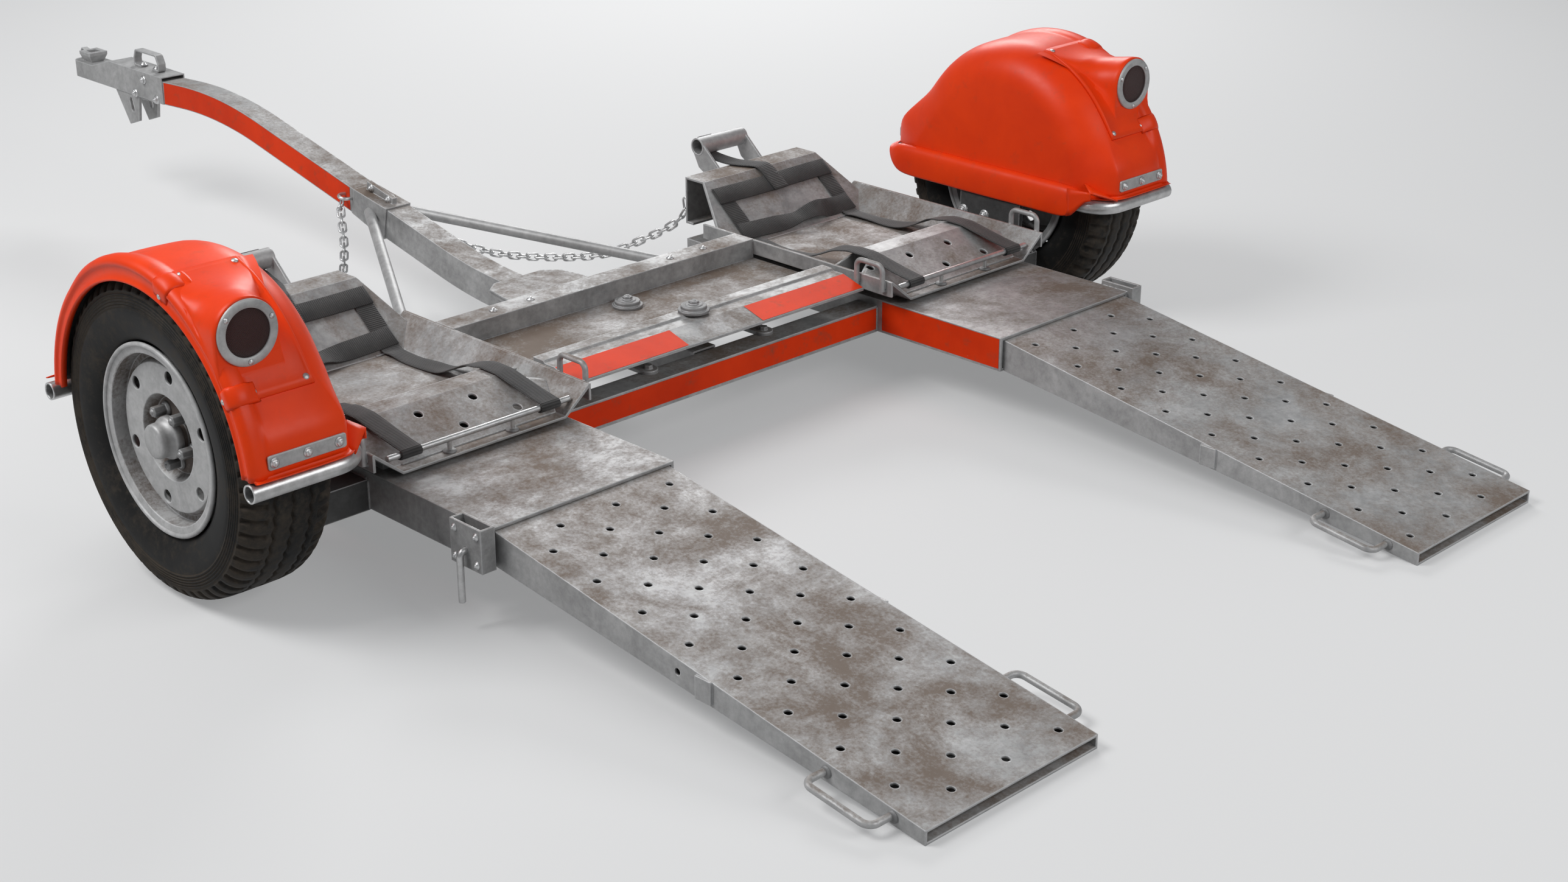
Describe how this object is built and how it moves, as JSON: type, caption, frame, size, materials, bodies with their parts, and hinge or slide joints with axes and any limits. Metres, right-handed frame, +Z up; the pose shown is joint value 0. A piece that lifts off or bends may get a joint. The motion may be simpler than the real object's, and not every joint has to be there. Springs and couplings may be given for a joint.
{
  "type": "car tow dolly",
  "caption": "Two-wheel car tow dolly with wheel pans, webbing nets, loading ramps, orange fenders with round lamps, and a long tongue with a ball coupler.",
  "frame": {"origin": "on the floor, under the middle of the overall box", "axes": "+X to the dolly's right, +Y forward to the coupler, +Z up"},
  "size_m": [2.524, 3.947, 0.6482],
  "materials": {
    "galvanised": "dull, dirt stained",
    "red_stripe_beam": "satin, worn",
    "orange_paint": "gloss",
    "wheel_paint": "satin, dusty",
    "dark_steel": "matt",
    "tyre_rubber": "matt",
    "webbing": "ribbed",
    "lamp_lens": "gloss",
    "chain_steel": "galvanised"
  },
  "bodies": {
    "frame": {"axle_arm_left": "dark_steel", "axle_arm_right": "dark_steel", "coupler": "galvanised", "coupler_cup": "galvanised", "coupler_grip": "galvanised", "coupler_latch": "galvanised", "coupler_tab_left": "galvanised", "coupler_tab_right": "galvanised", "deck_edge": "galvanised", "deck_plate": "galvanised", "deck_tab_left": "galvanised", "deck_tab_right": "galvanised", "fender_bar_front_left": "galvanised", "fender_bar_front_right": "galvanised", "fender_bar_rear_left": "galvanised", "fender_bar_rear_right": "galvanised", "fender_left": "orange_paint", "fender_right": "orange_paint", "front_beam": "galvanised", "front_pivot_disc": "galvanised", "front_stop_left": "galvanised", "front_stop_right": "galvanised", "lamp_hood_left": "orange_paint", "lamp_hood_right": "orange_paint", "lamp_left": "lamp_lens", "lamp_right": "lamp_lens", "pan_left": "galvanised", "pan_right": "galvanised", "pan_wedge_left": "galvanised", "pan_wedge_right": "galvanised", "ramp_left": "galvanised", "ramp_right": "galvanised", "ramp_sleeve_left": "galvanised", "ramp_sleeve_right": "galvanised", "rear_beam": "red_stripe_beam", "rear_pivot_disc": "galvanised", "safety_chain_left": "chain_steel", "safety_chain_right": "chain_steel", "strap_rod_left": "galvanised", "strap_rod_right": "galvanised", "strap_roller_left": "galvanised", "strap_roller_right": "galvanised", "tongue_brace_left": "galvanised", "tongue_brace_right": "galvanised", "tongue_collar": "galvanised", "tongue_front_tube": "galvanised", "tongue_rear_tube": "galvanised", "webbing_net_left": "webbing", "webbing_net_right": "webbing"},
    "wheel_left": {"tyre_left": "tyre_rubber", "rim_left": "wheel_paint"},
    "wheel_right": {"tyre_right": "tyre_rubber", "rim_right": "wheel_paint"},
    "pin_left": {"lock_pin_left": "galvanised"},
    "pin_right": {"lock_pin_right": "galvanised"}
  },
  "joints": [
    {"name": "wheel_right_spin", "type": "hinge", "parent": "frame", "child": "wheel_right", "pos_m": [1.15, -0.4495, 0.3025], "axis": [1, 0, 0], "continuous": true},
    {"name": "wheel_left_spin", "type": "hinge", "parent": "frame", "child": "wheel_left", "pos_m": [-1.15, -0.4495, 0.3025], "axis": [1, 0, 0], "continuous": true},
    {"name": "lock_pin_right_slide", "type": "slide", "parent": "frame", "child": "pin_right", "axis": [1, 0, 0], "range_m": [0, 0.03]},
    {"name": "lock_pin_left_slide", "type": "slide", "parent": "frame", "child": "pin_left", "axis": [-1, 0, 0], "range_m": [0, 0.03]}
  ]
}
